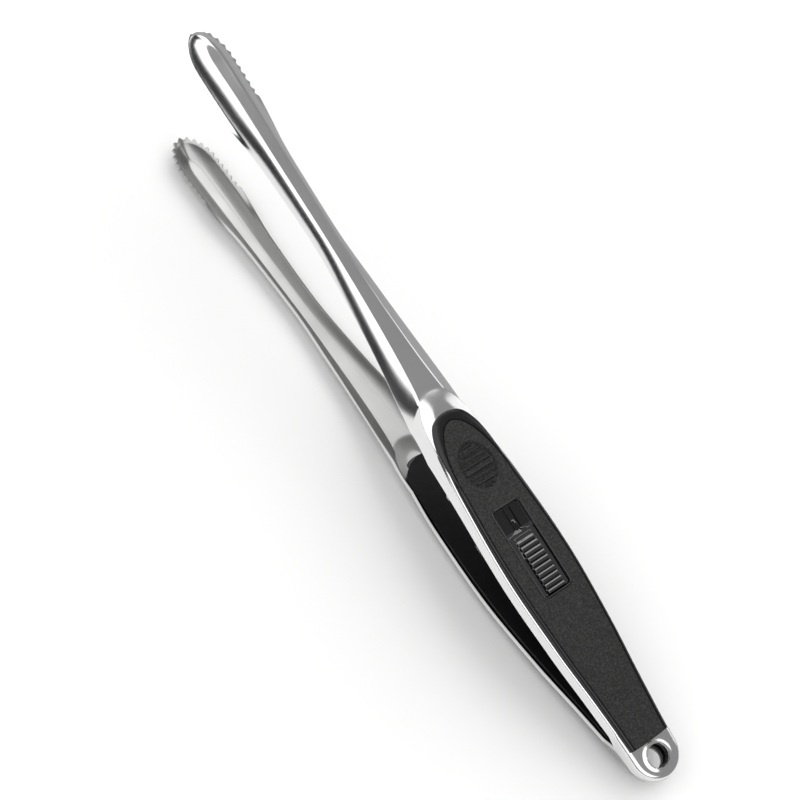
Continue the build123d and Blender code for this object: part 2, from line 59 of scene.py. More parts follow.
TIP = 278.0                 # reach of the tip
TAIL = -22.0                # reach of the tail's end
TIP_CENTRE = 263.0          # where the tip's rounding starts, in plan
TAIL_CENTRE = -12.0         # where the tail's rounding starts, in plan
SHEET = 1.0                 # thickness of the pressed arms
CROWN = 0.012               # slight curve of an arm's top face, as a share of its half width

# reach, half width and height of the free edge, half width and height of the shoulder
SECTIONS = [
    (-30, 9.2, 0.15, 8.3, 6.0),
    (-12, 9.4, 0.15, 8.6, 6.4),
    (10, 10.9, 0.15, 10.0, 7.0),
    (33, 12.9, 0.15, 12.0, 7.5),
    (60, 14.1, 0.15, 13.2, 7.8),
    (90, 13.1, 0.15, 11.9, 7.9),
    (112, 11.6, 0.35, 9.0, 7.8),
    (130, 9.9, 1.8, 4.8, 7.7),
    (148, 8.0, 3.0, 3.3, 7.7),
    (168, 6.4, 3.4, 2.5, 7.7),
    (192, 5.2, 3.0, 2.1, 7.4),
    (220, 5.8, 2.0, 2.2, 7.1),
    (247, 7.5, 0.45, 2.4, 7.0),
    (262, 7.7, 0.24, 2.5, 6.6),
    (290, 7.7, 0.24, 2.5, 6.2),
]

# reach, radius along the shoulders, outward bow of the walls, slope of the lip along their rim
SHOULDERS = [
    (-30, 2.6, 0.05, 0.0),
    (0, 1.8, 0.05, 0.0),
    (100, 1.8, 0.10, 0.0),
    (150, 1.6, 0.30, 0.0),
    (225, 2.2, 0.36, 0.0),
    (250, 3.5, 0.50, 0.64),
    (290, 3.5, 0.50, 0.64),
]
LIP_WIDTH = 1.5             # width of the sloping lip along the rim of the tips

TOOTH_PITCH = 3.2
TOOTH_DEPTH = 1.15
TOOTH_BLUNTING = 0.18       # share of the depth that is taken off the teeth's points
SERRATION_START = 247.0     # reach of the first tooth
NOSE_BLUNT = 0.6            # below 1: the tip's top stays level further forward

HOLE_REACH = -13.6
HOLE_R = 4.0
RING_R = 5.1                # raised ring pressed round the hanging hole
RING_RISE = 0.4
RING_GAP = 0.6              # between the ring and the hollow in the grip's rear end

# Outlines that follow the shoulders and close in a blunt front: reach of the front,
# reach where it starts to close, inset from the shoulder, bluntness
PLATFORM = (128.4, 107.0, 0.35, 2.3)
BASE = (119.8, 100.0, 0.8, 2.4)
PAD = (115.5, 90.0, 2.3, 2.0)
PLATFORM_RISE = 0.5         # from the arm's top face, as all rises
PLATFORM_STEP = 1.0         # its rise at the front
PLATFORM_EDGE = 1.2         # width of its rounded side edges
PLATFORM_ROUND = 6.4        # width of its rounded front edge
PLATFORM_CHANGE = (104.0, 122.0)    # reaches between which the sides turn into the front
BASE_FOOT = 0.55            # top of the base's straight foot, from the arm's top face
BASE_SUNK = 0.2             # how far the foot goes into the arm's top face
SEAT_GAP = 0.05             # between the platform and what lies on it
PAD_REAR = -7.9
PAD_CURVE = 0.4             # fall of the pad from its middle to its edge
PAD_SUNK = 0.73             # foot of the pad, below the base's lip
PAD_CORNER = 1.6            # corner radius of its rear end, in plan
PAD_EDGE = 0.5              # radius of its top edge

# Rise of the base's lip and of the pad above the arm's top face: reach, lip, pad
GRIP_RISES = [
    (-10, 1.85, 2.2),
    (20, 2.35, 2.7),
    (50, 2.65, 3.0),
    (60, 2.55, 2.9),
    (90, 1.8, 2.1),
    (112, 1.48, 1.75),
    (124, 1.35, 1.6),
]

THUMB = (98.0, 17.0, 12.5, 8)       # reach, length, width and ribs of the thumb rest
THUMB_DEPTH = 0.75
THUMB_RIM = 0.12                    # rise of the rim round it

# Slots and windows: rear, front, half width and corner radius
WINDOW = (48.6, 82.6, 6.1, 2.0)     # in the upper grip
ARM_SLOT = (55.0, 76.5, 1.8, 1.7)   # in the upper arm, for the latch
TRACK_SLOT = (54.8, 76.8, 0.7, 0.65)    # in the tray, for the button's stem

TRACK_GAP = 0.05                    # between the tray and the window
TRACK_LIP = 0.12                    # rise of the tray's lip above the pad
TRACK_WALL = 0.6
GROOVES = (1.25, 0.32, 0.5)         # distance from the middle, half width and depth

BUTTON = (49.4, 71.9, 3.95, 0.9)    # rear, front, half width and corner radius of its ribbed part
BUTTON_RIBS = 11
BUTTON_RIB_DEPTH = 0.95
BUTTON_LEVEL = 61.0                 # reach from which the ribs' crests fall towards the nose
BUTTON_FALL = 1.5                   # how far they fall
BUTTON_SLAB = 5.25                  # half width of the slab under the ribs
BUTTON_SLAB_RISE = 0.55
BUTTON_NOSE = 73.3                  # reach of the point of its nose
BUTTON_NOSE_RISE = 1.3
BUTTON_TOP = 10.95
BUTTON_FLOOR = 9.08                 # height it slides at
STEM = (57.0, 66.0, 0.55, 6.92)     # reaches, half width and foot of the stem

WIRE_R = 0.45
COIL_R = 2.75
COIL_WIDTH = 4.4
COIL_TURNS = 4
LEG_LENGTH = 15.0
LEG_LEAN = 15.3             # degrees from the middle plane to each leg

# ------------------------------------------------------------------ places of the halves

hinge = next(j for j in frame["joints"] if j["name"] == "arm_hinge")
lock = next(j for j in frame["joints"] if j["name"] == "lock_slide")
pin = Vector(hinge["pos_m"])
upper_turn = math.atan2(lock["axis"][2], -lock["axis"][0])
lower_turn = math.radians(hinge["range_deg"][1]) - upper_turn
to_metres = Matrix.Scale(0.001, 4)
PLACES = {
    "upper": Matrix.Translation(pin) @ Matrix.Rotation(upper_turn, 4, "Y") @ to_metres,
    "lower": Matrix.Translation(pin) @ Matrix.Rotation(-lower_turn, 4, "Y")
    @ Matrix.Scale(-1, 4, (0, 0, 1)) @ to_metres,
}
MIDDLE = Matrix.Translation(pin) @ Matrix.Rotation((upper_turn - lower_turn) / 2, 4, "Y") @ to_metres


# ------------------------------------------------------------------ shape helpers

PROBE = 0.01                # step over which slopes are measured

def smooth(points, column, reach):
    """Monotone cubic through one column of a list of stations."""
    xs = [p[0] for p in points]
    ys = [p[column] for p in points]
    slopes = [(ys[i + 1] - ys[i]) / (xs[i + 1] - xs[i]) for i in range(len(xs) - 1)]
    tangents = [slopes[0]]
    for left, right in zip(slopes, slopes[1:]):
        tangents.append(2 * left * right / (left + right) if left * right > 0 else 0.0)
    tangents.append(slopes[-1])
    i = max(k for k in range(len(slopes)) if xs[k] <= reach or k == 0)
    h = xs[i + 1] - xs[i]
    t = (reach - xs[i]) / h
    return (
        (1 + 2 * t) * (1 - t) ** 2 * ys[i]
        + t * (1 - t) ** 2 * h * tangents[i]
        + t * t * (3 - 2 * t) * ys[i + 1]
        + t * t * (t - 1) * h * tangents[i + 1]
    )


def ease(x):
    """0 below 0, 1 above 1, and smooth between."""
    x = max(0.0, min(1.0, x))
    return x * x * (3 - 2 * x)


def soft_max(a, b, blend):
    """The larger of two values, with a rounded change-over."""
    h = max(blend - abs(a - b), 0.0) / blend
    return max(a, b) + h * h * blend / 4


def edge_drop(inside, radius):
    """How far a rounded edge lies below its face, at a distance inside the outline."""
    x = max(0.0, radius - inside)
    return radius - math.sqrt(max(0.0, radius * radius - min(x, radius) ** 2))


def top_at(reach):
    """Height of an arm's top face."""
    return smooth(SECTIONS, 4, reach)


def lip_top(reach):
    """Height of the base's lip round the pad."""
    return top_at(reach) + smooth(GRIP_RISES, 1, reach)


def pad_top(reach):
    """Height of the pad along its middle."""
    return top_at(reach) + smooth(GRIP_RISES, 2, reach)


def outline_half(outline, reach):
    """Half width of an outline at a reach."""
    front, bend, inset, blunt = outline
    half = smooth(SECTIONS, 3, min(reach, bend)) - inset
    ahead = max(0.0, min(1.0, (reach - bend) / (front - bend)))
    return half * (1 - ahead ** blunt) ** (1 / blunt)


def outline_inside(outline, reach, w):
    """Distance inside an outline's sides and front."""
    front, bend, inset, blunt = outline

    def form(r, v):
        half = smooth(SECTIONS, 3, min(r, bend)) - inset
        ahead = max(0.0, (r - bend) / (front - bend))
        return (ahead ** blunt + (abs(v) / half) ** blunt) ** (1 / blunt)

    here = form(reach, w)
    slope = math.hypot(form(reach + PROBE, w) - here, form(reach, abs(w) + PROBE) - here) / PROBE
    return (1 - here) / slope


def shrunk(outline, more):
    """The same outline, further in by a distance."""
    front, bend, inset, blunt = outline
    return front - more, bend, inset + more, blunt


def outline_loop(outline, rear, side_steps=70, front_steps=60, end_steps=16):
    """Closed loop of reach, width points: one side, the front, the other side, the rear."""
    front, bend, _, blunt = outline
    side = [rear + (bend - rear) * i / side_steps for i in range(side_steps)]
    right = [(reach, outline_half(outline, reach)) for reach in side]
    bow = []
    for i in range(front_steps + 1):
        angle = math.pi * i / front_steps
        reach = bend + (front - bend) * math.sin(angle) ** (2 / blunt)
        half = outline_half(outline, bend) * abs(math.cos(angle)) ** (2 / blunt)
        bow.append((reach, math.copysign(half, math.cos(angle))))
    left = [(reach, -half) for reach, half in reversed(right)]
    end = outline_half(outline, rear)
    back = [(rear, -end + 2 * end * i / end_steps) for i in range(1, end_steps)]
    return right + bow + left + [(reach + tail_notch(w), w) for reach, w in back]


def tail_notch(w):
    """How far the grip's rear end is hollowed round the ring of the hanging hole."""
    clear = RING_R + RING_GAP
    if abs(w) >= clear:
        return 0.0
    return max(0.0, HOLE_REACH + math.sqrt(clear * clear - w * w) - PAD_REAR)


def slot_inside(reach, w, rear, front, half, radius):
    """Distance inside a rectangle with rounded corners."""
    dx = abs(reach - (rear + front) / 2) - (front - rear) / 2 + radius
    dw = abs(w) - half + radius
    return radius - math.hypot(max(dx, 0), max(dw, 0)) - min(max(dx, dw), 0)


# ------------------------------------------------------------------ mesh helpers

WELD = 0.002                # points closer than this are one point

def grid(rows):
    """A sheet of faces through rows of points; points that meet are joined."""
    bm = bmesh.new()
    made = [[bm.verts.new(p) for p in row] for row in rows]
    for a, b in zip(made, made[1:]):
        for i in range(len(a) - 1):
            bm.faces.new((a[i], a[i + 1], b[i + 1], b[i]))
    bmesh.ops.remove_doubles(bm, verts=bm.verts[:], dist=WELD)
    return bm


def open_hole(bm, inside):
    """Takes away the faces inside an outline and moves their rim onto it."""
    doomed = []
    for f in bm.faces:
        c = f.calc_center_median()
        if inside(-c.x, c.y) > 0:
            doomed.append(f)
    rim = {v for f in doomed for v in f.verts}
    bmesh.ops.delete(bm, geom=doomed, context="FACES")
    for v in [v for v in rim if v.is_valid and v.is_boundary]:
        for _ in range(3):
            reach, w = -v.co.x, v.co.y
            here = inside(reach, w)
            slope_r = (inside(reach + PROBE, w) - here) / PROBE
            slope_w = (inside(reach, w + PROBE) - here) / PROBE
            size = slope_r ** 2 + slope_w ** 2
            if size > 0.01:
                v.co.x += here * slope_r / size
                v.co.y -= here * slope_w / size


def raise_to(bm, height):
    """Sets each point's height from its reach and width."""
    for v in bm.verts:
        v.co.z = height(-v.co.x, v.co.y, v.co.z)


def close_down(bm, floor):
    """Makes a sheet solid: a second sheet at the floor's height, and sides."""
    rim = [e for e in bm.edges if e.is_boundary]
    faces = bm.faces[:]
    twins = {v: bm.verts.new((v.co.x, v.co.y, floor(-v.co.x, v.co.y))) for v in bm.verts[:]}
    for f in faces:
        bm.faces.new([twins[v] for v in reversed(f.verts)])
    for e in rim:
        a, b = e.verts
        bm.faces.new((a, b, twins[b], twins[a]))
    bmesh.ops.recalc_face_normals(bm, faces=bm.faces[:])


def tube(points, radius, sides=10):
    """A round bar along a list of points, closed at both ends."""
    bm = bmesh.new()
    rings = []
    for i, p in enumerate(points):
        along = (Vector(points[min(i + 1, len(points) - 1)]) - Vector(points[max(i - 1, 0)])).normalized()
        across = along.cross(Vector((0, 0, 1)) if abs(along.z) < 0.9 else Vector((1, 0, 0))).normalized()
        up = across.cross(along)
        ring = []
        for k in range(sides):
            a = 2 * math.pi * k / sides
            ring.append(bm.verts.new(Vector(p) + (across * math.cos(a) + up * math.sin(a)) * radius))
        rings.append(ring)
    for a, b in zip(rings, rings[1:]):
        for k in range(sides):
            bm.faces.new((a[k], a[(k + 1) % sides], b[(k + 1) % sides], b[k]))
    bm.faces.new(rings[0])
    bm.faces.new(rings[-1])
    bmesh.ops.recalc_face_normals(bm, faces=bm.faces[:])
    return bm


def piece(name, bm, place, body, node, material, thickness=0.0, bevel=0.0, sharp=38):
    """Turns a local mesh into a piece in the row frame that rides on a body and stands for a node."""
    mesh = bpy.data.meshes.new(name)
    bm.to_mesh(mesh)
    bm.free()
    made = bpy.data.objects.new(name, mesh)
    bpy.context.scene.collection.objects.link(made)
    if thickness:
        shell = made.modifiers.new("sheet", "SOLIDIFY")
        shell.thickness = thickness
        shell.offset = -1
    if bevel:
        rounding = made.modifiers.new("edges", "BEVEL")
        rounding.width = bevel
        rounding.segments = 3
        rounding.limit_method = "ANGLE"
        rounding.angle_limit = math.radians(50)
    bpy.context.view_layer.update()
    evaluated = made.evaluated_get(bpy.context.evaluated_depsgraph_get())
    final = bpy.data.meshes.new_from_object(evaluated)
    made.modifiers.clear()
    made.data = final
    final.name = name
    final.transform(place)
    if place.determinant() < 0:
        final.flip_normals()
    final.shade_smooth()
    final.set_sharp_from_angle(angle=math.radians(sharp))
    final.materials.clear()
    final.materials.append(material)
    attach(made, body)
    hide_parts(node)
    return made


# ------------------------------------------------------------------ materials

def new_material(name, colour, roughness, metallic=0.0, coat=0.0, specular=0.5):
    """A Principled material; returns it with its nodes, links and shader."""
    material = bpy.data.materials.new(name)
    material.use_nodes = True
    nodes = material.node_tree.nodes
    shader = nodes["Principled BSDF"]
    shader.inputs["Base Color"].default_value = (*colour, 1)
    shader.inputs["Roughness"].default_value = roughness
    shader.inputs["Metallic"].default_value = metallic
    shader.inputs["Coat Weight"].default_value = coat
    shader.inputs["Specular IOR Level"].default_value = specular
    return material, nodes, material.node_tree.links, shader


def noise_map(nodes, links, scale, stretch=(1, 1, 1), detail=4.0, turn=0.0):
    """Noise over the object's own coordinates, in features per metre."""
    place = nodes.new("ShaderNodeTexCoord")
    mapping = nodes.new("ShaderNodeMapping")
    mapping.inputs["Scale"].default_value = stretch
    mapping.inputs["Rotation"].default_value = (0, turn, 0)
    noise = nodes.new("ShaderNodeTexNoise")
    noise.inputs["Scale"].default_value = scale
    noise.inputs["Detail"].default_value = detail
    links.new(place.outputs["Object"], mapping.inputs["Vector"])
    links.new(mapping.outputs["Vector"], noise.inputs["Vector"])
    return noise.outputs["Fac"]


def ramp(nodes, links, source, low, high, low_value, high_value):
    """Maps a 0 to 1 source onto two colours or greys."""
    node = nodes.new("ShaderNodeValToRGB")
    first, last = node.color_ramp.elements
    first.position, last.position = low, high
    first.color = (*low_value, 1) if isinstance(low_value, tuple) else (low_value,) * 3 + (1,)
    last.color = (*high_value, 1) if isinstance(high_value, tuple) else (high_value,) * 3 + (1,)
    links.new(source, node.inputs["Fac"])
    return node.outputs["Color"]


def bump(nodes, links, shader, source, strength, distance):
    """Adds a bump to a shader's normal, on top of any bump that it has."""
    node = nodes.new("ShaderNodeBump")
    node.inputs["Strength"].default_value = strength
    node.inputs["Distance"].default_value = distance
    if shader.inputs["Normal"].is_linked:
        links.new(shader.inputs["Normal"].links[0].from_socket, node.inputs["Normal"])
    links.new(source, node.inputs["Height"])
    links.new(node.outputs["Normal"], shader.inputs["Normal"])


def steel(name, turn, roughness, colour=(0.80, 0.80, 0.80), grain=0.02):
    """Polished or satin steel: fine grain lengthwise, turned with the part, and faint cloudiness."""
    material, nodes, links, shader = new_material(name, colour, roughness, metallic=1.0)
    lines = noise_map(nodes, links, 1.0, (60, 2600, 2600), 3.0, turn)
    clouds = noise_map(nodes, links, 45.0, (1, 1, 1), 3.0, turn)
    bump(nodes, links, shader, lines, grain, 0.0004)
    shade = ramp(nodes, links, clouds, 0.3, 0.7, roughness * 0.88, roughness * 1.12)
    links.new(shade, shader.inputs["Roughness"])
    tint = ramp(nodes, links, lines, 0.3, 0.7, tuple(c * 0.95 for c in colour), colour)
    links.new(tint, shader.inputs["Base Color"])
    return material


def moulding(name, colour, roughness, grain, scale, coat=0.0, specular=0.5):
    """Moulded plastic with a fine texture."""
    material, nodes, links, shader = new_material(name, colour, roughness, coat=coat, specular=specular)
    texture = noise_map(nodes, links, scale)
    clouds = noise_map(nodes, links, 60.0)
    bump(nodes, links, shader, texture, grain, 0.0002)
    darker, lighter = [tuple(c * share for c in colour) for share in (0.8, 1.2)]
    tint = ramp(nodes, links, clouds, 0.3, 0.7, darker, lighter)
    links.new(tint, shader.inputs["Base Color"])
    shade = ramp(nodes, links, texture, 0.3, 0.7, roughness * 0.85, roughness * 1.15)
    links.new(shade, shader.inputs["Roughness"])
    return material


def rubber(name):
    """Soft matt grip with a spark-eroded grain, whose lighter flecks are partly its own tone and partly
    painted highlight.
    """
    colour = (0.026, 0.025, 0.026)
    material, nodes, links, shader = new_material(name, colour, 0.62, specular=0.3)
    grains = noise_map(nodes, links, 2600.0, (1, 1, 1), 2.0)
    pores_and_glints = noise_map(nodes, links, 1700.0, (1, 1, 1), 3.0)
    patches = noise_map(nodes, links, 28.0, (1, 1, 1), 3.0)
    bump(nodes, links, shader, pores_and_glints, 0.9, 0.0005)
    bump(nodes, links, shader, grains, 0.6, 0.00015)
    # Pores tinted lighter: partly the grain's own tone, partly painted highlight standing in for light
    # glinting off the grain.
    tint = ramp(nodes, links, pores_and_glints, 0.42, 0.72, (0.007, 0.007, 0.0067), (0.034, 0.033, 0.0315))
    links.new(tint, shader.inputs["Base Color"])
    shade = ramp(nodes, links, patches, 0.3, 0.7, 0.56, 0.68)
    links.new(shade, shader.inputs["Roughness"])
    return material


upper_steel = steel("upper_arm_steel", -upper_turn, 0.17)
# The lower arm's steel is painted darker than the upper arm's (0.42 against 0.80): painted shade from the
# upper half lying over it.
lower_steel_painted_shade = steel("lower_arm_steel_painted_shade", lower_turn, 0.34, (0.42, 0.42, 0.415))
latch_steel = steel("latch_steel", 0.0, 0.34, (0.5, 0.5, 0.5), 0.05)
screw_steel = steel("screw_steel", 0.0, 0.22, (0.7, 0.7, 0.71), 0.02)
spring_steel = steel("spring_steel", 0.0, 0.3, (0.42, 0.42, 0.43), 0.05)
liner_plastic = moulding("liner_plastic", (0.004, 0.004, 0.004), 0.4, 0.25, 1800, specular=0.15)
base_plastic = moulding("base_plastic", (0.006, 0.006, 0.006), 0.22, 0.05, 700, specular=0.4)
track_plastic = moulding("track_plastic", (0.005, 0.005, 0.005), 0.14, 0.05, 900, coat=0.3)
button_plastic = moulding("button_plastic", (0.006, 0.006, 0.006), 0.13, 0.05, 900, coat=1.0, specular=0.9)
pad_rubber = rubber("pad_rubber")

CAD_LOOKS = {
    "lower_liner": liner_plastic, "upper_liner": liner_plastic, "lower_hang_bush": liner_plastic,
    "upper_hang_bush": liner_plastic, "spring_sleeve": liner_plastic,
    "latch_plate": latch_steel, "latch_strike": latch_steel,
    "pivot_washers": latch_steel, "lower_grip_screws": screw_steel, "upper_grip_screws": screw_steel,
    "strike_screws": screw_steel, "latch_screw": screw_steel, "detent_screw": screw_steel,
    "hinge_pin": screw_steel, "pin_clip": spring_steel, "detent_spring": spring_steel,
}


def dress_cad_nodes():
    """Gives each carried-over CAD node its material and softened edges."""
    for name, material in CAD_LOOKS.items():
        node = frame["nodes"][name]
        node.data.materials.clear()
        node.data.materials.append(material)
        rounding = node.modifiers.new("edges", "BEVEL")
        rounding.width = 0.00012
        rounding.segments = 2
        rounding.limit_method = "ANGLE"
        rounding.angle_limit = math.radians(40)


# ------------------------------------------------------------------ arms

def section(reach):
    """Free edge and shoulder of an arm, with the free edges cut back behind the pin."""
    edge_w, edge_h, top_w, top_h = [smooth(SECTIONS, c, reach) for c in (1, 2, 3, 4)]
    edge_h += max(0.0, -reach) * math.tan((upper_turn + lower_turn) / 2)
    return edge_w, edge_h, top_w, top_h


def half_profile(reach, cut):
    """Points of the outer skin from the spine to the free edge: flat top, shoulder, bowed wall."""
    edge_w, edge_h, top_w, top_h = section(reach)
    radius = smooth(SHOULDERS, 1, reach)
    bow = smooth(SHOULDERS, 2, reach)
    slope = smooth(SHOULDERS, 3, reach)
    wall = math.hypot(edge_w - top_w, edge_h - top_h)
    out_w = (edge_w - top_w) / wall
    out_h = (edge_h - top_h) / wall

    def on_wall(q):
        swell = 4 * bow * q * (1 - q) + slope * soft_max(0.0, LIP_WIDTH - (1 - q) * wall, 0.5)
        return top_w + out_w * wall * q - out_h * swell, top_h + out_h * wall * q + out_w * swell

    turn = math.acos(out_w) - 4 * bow / wall
    tangent = min(radius * math.tan(turn / 2), 0.8 * top_w, 0.45 * wall)
    flat_w = top_w - tangent
    low_w, low_h = on_wall(tangent / wall)
    flat_steps, round_steps, wall_steps = 16, 10, 30

    points = []
    for i in range(flat_steps):
        w = flat_w * i / flat_steps
        points.append((w, top_h + CROWN * flat_w * (1 - (w / flat_w) ** 2)))
    for i in range(round_steps):
        t = i / round_steps
        w = (1 - t) ** 2 * flat_w + 2 * t * (1 - t) * top_w + t * t * low_w
        h = (1 - t) ** 2 * top_h + 2 * t * (1 - t) * top_h + t * t * low_h
        points.append((w, h))
    first = tangent / wall
    last = 1 - cut / wall
    for i in range(wall_steps + 1):
        points.append(on_wall(first + (last - first) * i / wall_steps))
    return [(w / edge_w, w, h) for w, h in points]


def rib_lines():
    """Ribs of an arm: where each starts on the spine, how far ahead and how far across it reaches."""
    tail_steps, tip_steps = 30, 64
    ribs = []
    for i in range(tail_steps):
        angle = math.pi / 2 * (1 - i / tail_steps)
        ribs.append((TAIL_CENTRE, (TAIL - TAIL_CENTRE) * math.sin(angle), math.cos(angle)))
    reach = TAIL_CENTRE
    while reach < TIP_CENTRE - 0.2:
        ribs.append((reach, 0.0, 1.0))
        if reach < -3 or 112 < reach < 134:
            reach += 0.5
        elif reach > 244:
            reach += 0.4
        elif reach < 112:
            reach += 1.0
        else:
            reach += 1.5
    for i in range(tip_steps + 1):
        angle = math.pi / 2 * i / tip_steps
        ribs.append((TIP_CENTRE, (TIP - TIP_CENTRE) * math.sin(angle), math.cos(angle)))
    return ribs


def tooth_cuts(ribs):
    """How far the rim is cut back at each rib: round hollows between points, from the serration's start."""
    places = [(base + ahead, smooth(SECTIONS, 1, base) * across) for base, ahead, across in ribs]
    run = 0.0
    runs = []
    for i, place in enumerate(places):
        if i and ribs[i][0] > SERRATION_START:
            run += math.dist(places[i - 1], place)
        runs.append(run)
    teeth = round(runs[-1] / TOOTH_PITCH)
    cuts = []
    for run in runs:
        wave = abs(math.sin(math.pi * run / runs[-1] * teeth))
        cuts.append(TOOTH_DEPTH * math.hypot(wave, TOOTH_BLUNTING) * ease(run / 2.0))
    return cuts


def arm_height(reach, w, h):
    """Adds the platform under the grip and the ring round the hanging hole to an arm's skin."""
    if -8 < reach < PLATFORM[0] + 3:
        inside = outline_inside(PLATFORM, reach, w)
        start, end = PLATFORM_CHANGE
        forward = ease((reach - start) / (end - start))
        rise = PLATFORM_RISE + (PLATFORM_STEP - PLATFORM_RISE) * forward
        width = PLATFORM_EDGE + (PLATFORM_ROUND - PLATFORM_EDGE) * forward
        out = max(0.0, 1 - max(inside, 0.0) / width)
        rounded = rise * out ** 1.5
        plateau = top_at(reach) + rise - rounded
        plateau -= 2.6 * max(0.0, -inside) + 0.5 * max(0.0, -reach)
        h = soft_max(h, plateau, 0.12)
    from_hole = math.hypot(reach - HOLE_REACH, w)
    if from_hole < RING_R + 1:
        h += RING_RISE * ease((RING_R + 0.3 - from_hole) / 0.9)
    return h


def arm_mesh(slot_open):
    """An arm's outer skin, open at the hanging hole and, on the upper half, at the latch slot."""
    ribs = rib_lines()
    rows = []
    for (base, ahead, across), cut in zip(ribs, tooth_cuts(ribs)):
        blunt = NOSE_BLUNT if ahead > 0 else 1.0
        half = [(-(base + ahead * f ** blunt), w * across, h) for f, w, h in half_profile(base, cut)]
        rows.append([(x, -w, h) for x, w, h in reversed(half)] + half[1:])
    bm = grid(rows)
    open_hole(bm, lambda reach, w: HOLE_R - math.hypot(reach - HOLE_REACH, w))
    if slot_open:
        open_hole(bm, lambda reach, w: slot_inside(reach, w, *ARM_SLOT))
    raise_to(bm, arm_height)
    bmesh.ops.recalc_face_normals(bm, faces=bm.faces[:])
    highest = max(bm.faces, key=lambda f: f.calc_center_median().z)
    if highest.normal.z < 0:
        bmesh.ops.reverse_faces(bm, faces=bm.faces[:])
    return bm


def make_arms():
    piece("upper_arm_shell", arm_mesh(True), PLACES["upper"], "upper_half", "upper_arm",
          upper_steel, thickness=SHEET, bevel=0.12)
    piece("lower_arm_shell", arm_mesh(False), PLACES["lower"], "lower_half", "lower_arm",
          lower_steel_painted_shade, thickness=SHEET, bevel=0.12)


# ------------------------------------------------------------------ grips

def base_mesh(core_half):
    """Hard carrier: a bevel that rises from the platform's edge to the pad, and a plate under the pad."""
    outer = outline_loop(BASE, PAD_REAR + 0.3)
    lip = outline_loop(shrunk(PAD, -0.3), PAD_REAR + 0.2)
    inner = outline_loop(shrunk(PAD, 0.5), PAD_REAR + 0.8)
    rear, front, _, corner = WINDOW
    core = []
    for reach, w in lip:
        middle = max(rear + corner, min(front - corner, reach))
        side = max(-max(core_half - corner, 0), min(max(core_half - corner, 0), w))
        away = Vector((reach - middle, w - side))
        grow = corner / away.length if core_half else 0.0
        core.append((middle + away.x * grow, side + away.y * grow))
    loops = [[(r, w, top_at(r) + h) for r, w in outer] for h in (-BASE_SUNK, BASE_FOOT)]
    steps = 10
    for i in range(1, steps + 1):
        q = i / steps
        climb = (1 - (1 - q) ** 2) ** 0.6
        loop = []
        for a, b in zip(outer, lip):
            r = a[0] + (b[0] - a[0]) * q
            low = top_at(r) + BASE_FOOT
            loop.append((r, a[1] + (b[1] - a[1]) * q, low + (lip_top(r) - low) * climb))
        loops.append(loop)
    closer = [(a[0] + (b[0] - a[0]) * 0.25, a[1] + (b[1] - a[1]) * 0.25) for a, b in zip(lip, inner)]
    for outline, depth in ((closer, 0.5), (inner, 0.75), (core, 0.75)):
        loops.append([(r, w, lip_top(r) - depth) for r, w in outline])
    seat = PLATFORM_RISE + SEAT_GAP
    loops.append([(r, w, top_at(r) + seat) for r, w in core])
    if core_half:
        loops.append([(r, w, top_at(r) + seat) for r, w in outer])
    bm = bmesh.new()
    made = [[bm.verts.new((-r, w, h)) for r, w, h in loop] for loop in loops]
    made.append(made[0])
    for a, b in zip(made, made[1:]):
        for i in range(len(a)):
            k = (i + 1) % len(a)
            bm.faces.new((a[i], a[k], b[k], b[i]))
    bmesh.ops.remove_doubles(bm, verts=bm.verts[:], dist=WELD)
    bmesh.ops.recalc_face_normals(bm, faces=bm.faces[:])
    return bm


def thumb_rest(reach, w):
    """Height change of the oval thumb rest with its ribs across."""
    centre, length, width, count = THUMB
    e = math.hypot((reach - centre) / (length / 2), w / (width / 2))
    if e > 1.3:
        return 0.0
    phase = (reach - centre) / (length / count)
    rib = ease(0.55 + 1.5 * math.cos(2 * math.pi * (phase + 0.5)))
    recess = ease((1.02 - e) / 0.08)
    inner = ease((0.93 - e) / 0.08)
    rim = THUMB_RIM * math.exp(-(((e - 1.07) / 0.05) ** 2))
    return rim - THUMB_DEPTH * recess + THUMB_DEPTH * rib * inner


def pad_height(reach, w, _):
    """Top of the pad: curved across, rounded at its edge."""
    half = outline_half(PAD, min(reach, PAD[1]))
    curve = PAD_CURVE * (w / half) ** 2
    inside = min(outline_inside(PAD, reach, w), reach - PAD_REAR - tail_notch(w))
    return pad_top(reach) - curve + thumb_rest(reach, w) - edge_drop(max(inside, 0.0), PAD_EDGE)


def pad_rows():
    """Plan points of the pad: rows across, close together at its ends and over the thumb rest."""
    front, bend, _, _ = PAD
    reaches = [PAD_REAR + step for step in (0.0, 0.08, 0.2, 0.38, 0.6, 1.0, 1.5, 2.0)]
    reach = PAD_REAR + 2.8
    while reach < bend - 0.4:
        reaches.append(reach)
        reach += 0.8 if reach < 90 else 0.4
    steps = 84
    ends = [bend + (front - bend) * math.sin(math.pi / 2 * i / steps) for i in range(steps)]
    reaches += ends + [front - 0.0005]
    shares = [i / 21 * 0.93 for i in range(21)] + [0.93, 0.95, 0.965, 0.98, 0.99, 0.996, 1.0]
    rows = []
    for reach in reaches:
        half = outline_half(PAD, reach)
        e = max(0.0, (PAD_REAR + PAD_CORNER - reach) / PAD_CORNER)
        half -= PAD_CORNER * (1 - math.sqrt(1 - e * e))
        fade = ease((PAD_REAR + 12 - reach) / 12)
        right = [(-(reach + tail_notch(half * s) * fade), half * s, 0.0) for s in shares]
        rows.append([(x, -w, z) for x, w, z in reversed(right)] + right[1:])
    return rows


def pad_mesh(with_window):
    """Soft pad, with the slide lock's window on the upper half."""
    bm = grid(pad_rows())
    if with_window:
        open_hole(bm, lambda reach, w: slot_inside(reach, w, *WINDOW))
    raise_to(bm, pad_height)
    close_down(bm, lambda reach, w: lip_top(reach) - PAD_SUNK)
    return bm


